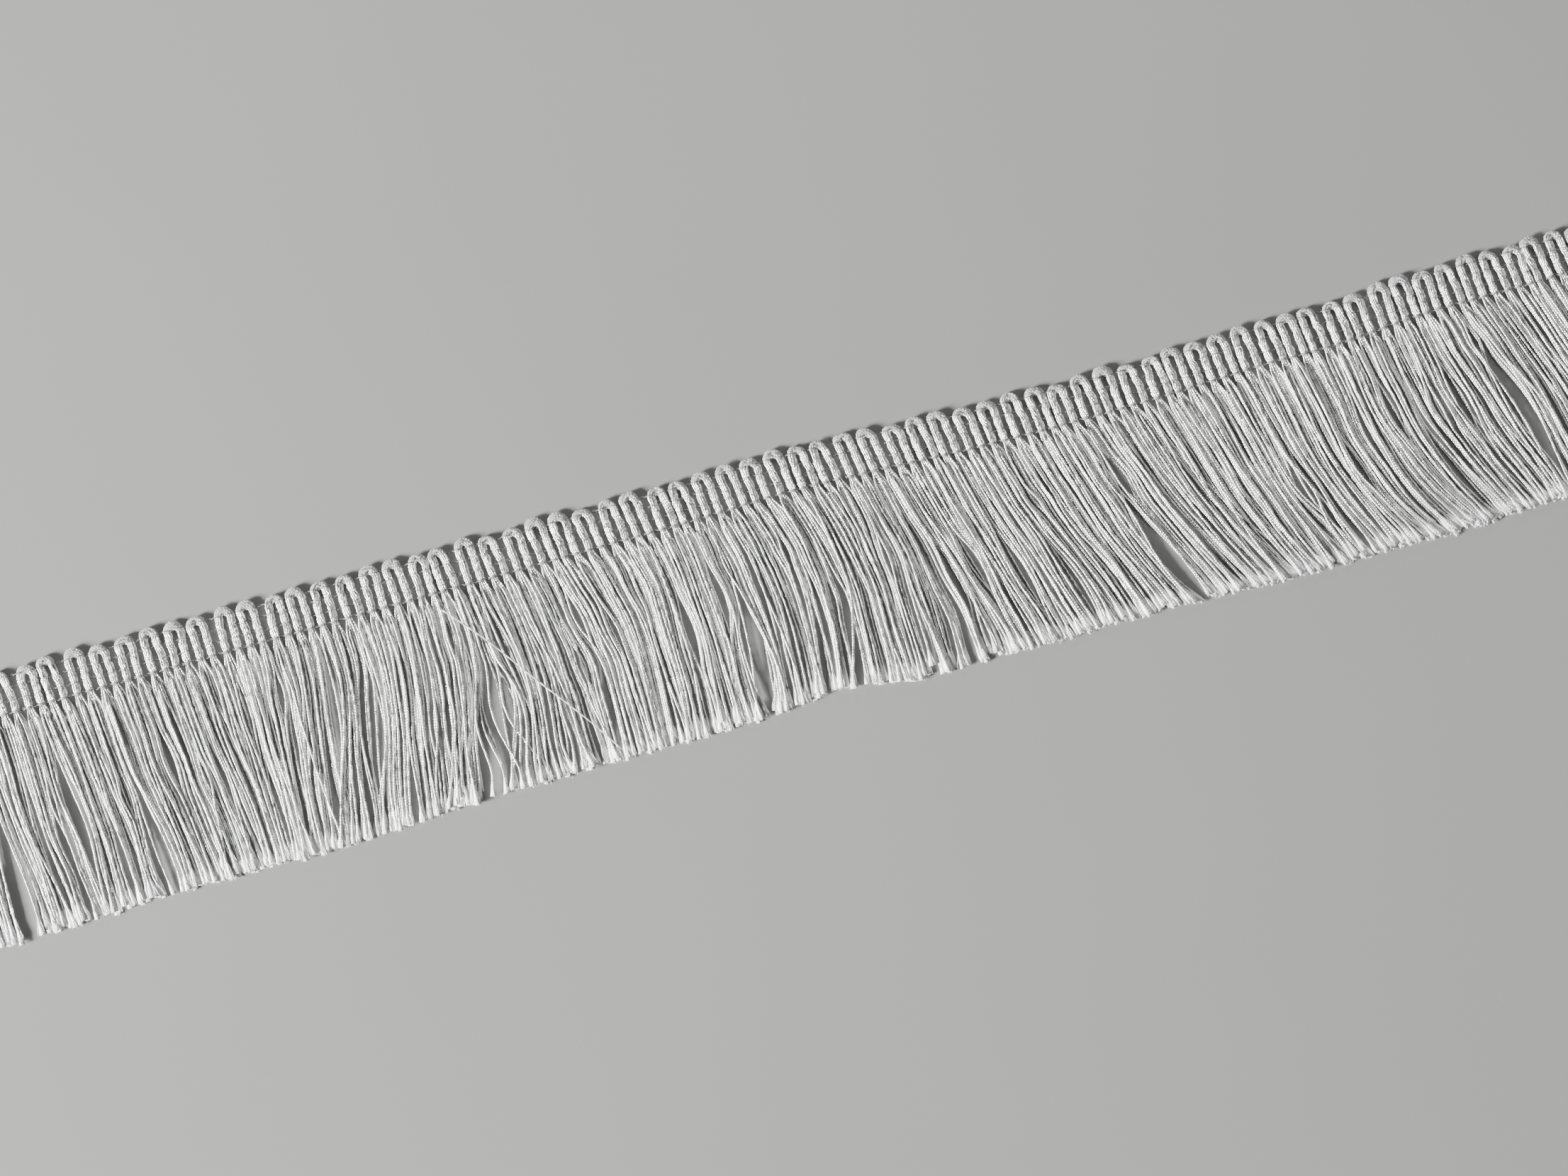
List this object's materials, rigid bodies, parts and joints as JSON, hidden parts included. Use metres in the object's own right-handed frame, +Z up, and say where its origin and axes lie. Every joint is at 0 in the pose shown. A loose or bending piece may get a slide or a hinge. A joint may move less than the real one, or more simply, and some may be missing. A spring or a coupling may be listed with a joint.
{
  "type": "fringe trim with looped heading",
  "caption": "Cut length of metallic fringe trim: a looped heading bound by clear threads, with a brushed skirt of cut yarn along one edge.",
  "frame": {"origin": "middle of the underside of the box around the trim, on the surface that it lies on", "axes": "+X along the heading, +Y from the cut ends towards the tops of the loops, +Z up from the surface"},
  "size_m": [0.3582, 0.0516, 0.0019],
  "materials": {
    "metallic_yarn": "bright silver metallic yarn, in tight bundles",
    "brushed_yarn": "twisted silver metallic yarn with glints, opened and whiter at its cut ends",
    "clear_thread": "fine smooth clear grey thread"
  },
  "bodies": {
    "root": {"heading": "metallic_yarn", "skirt": "brushed_yarn", "binding_row_1": "clear_thread", "binding_row_2": "clear_thread", "binding_row_3": "clear_thread", "binding_row_4": "clear_thread"}
  },
  "joints": []
}
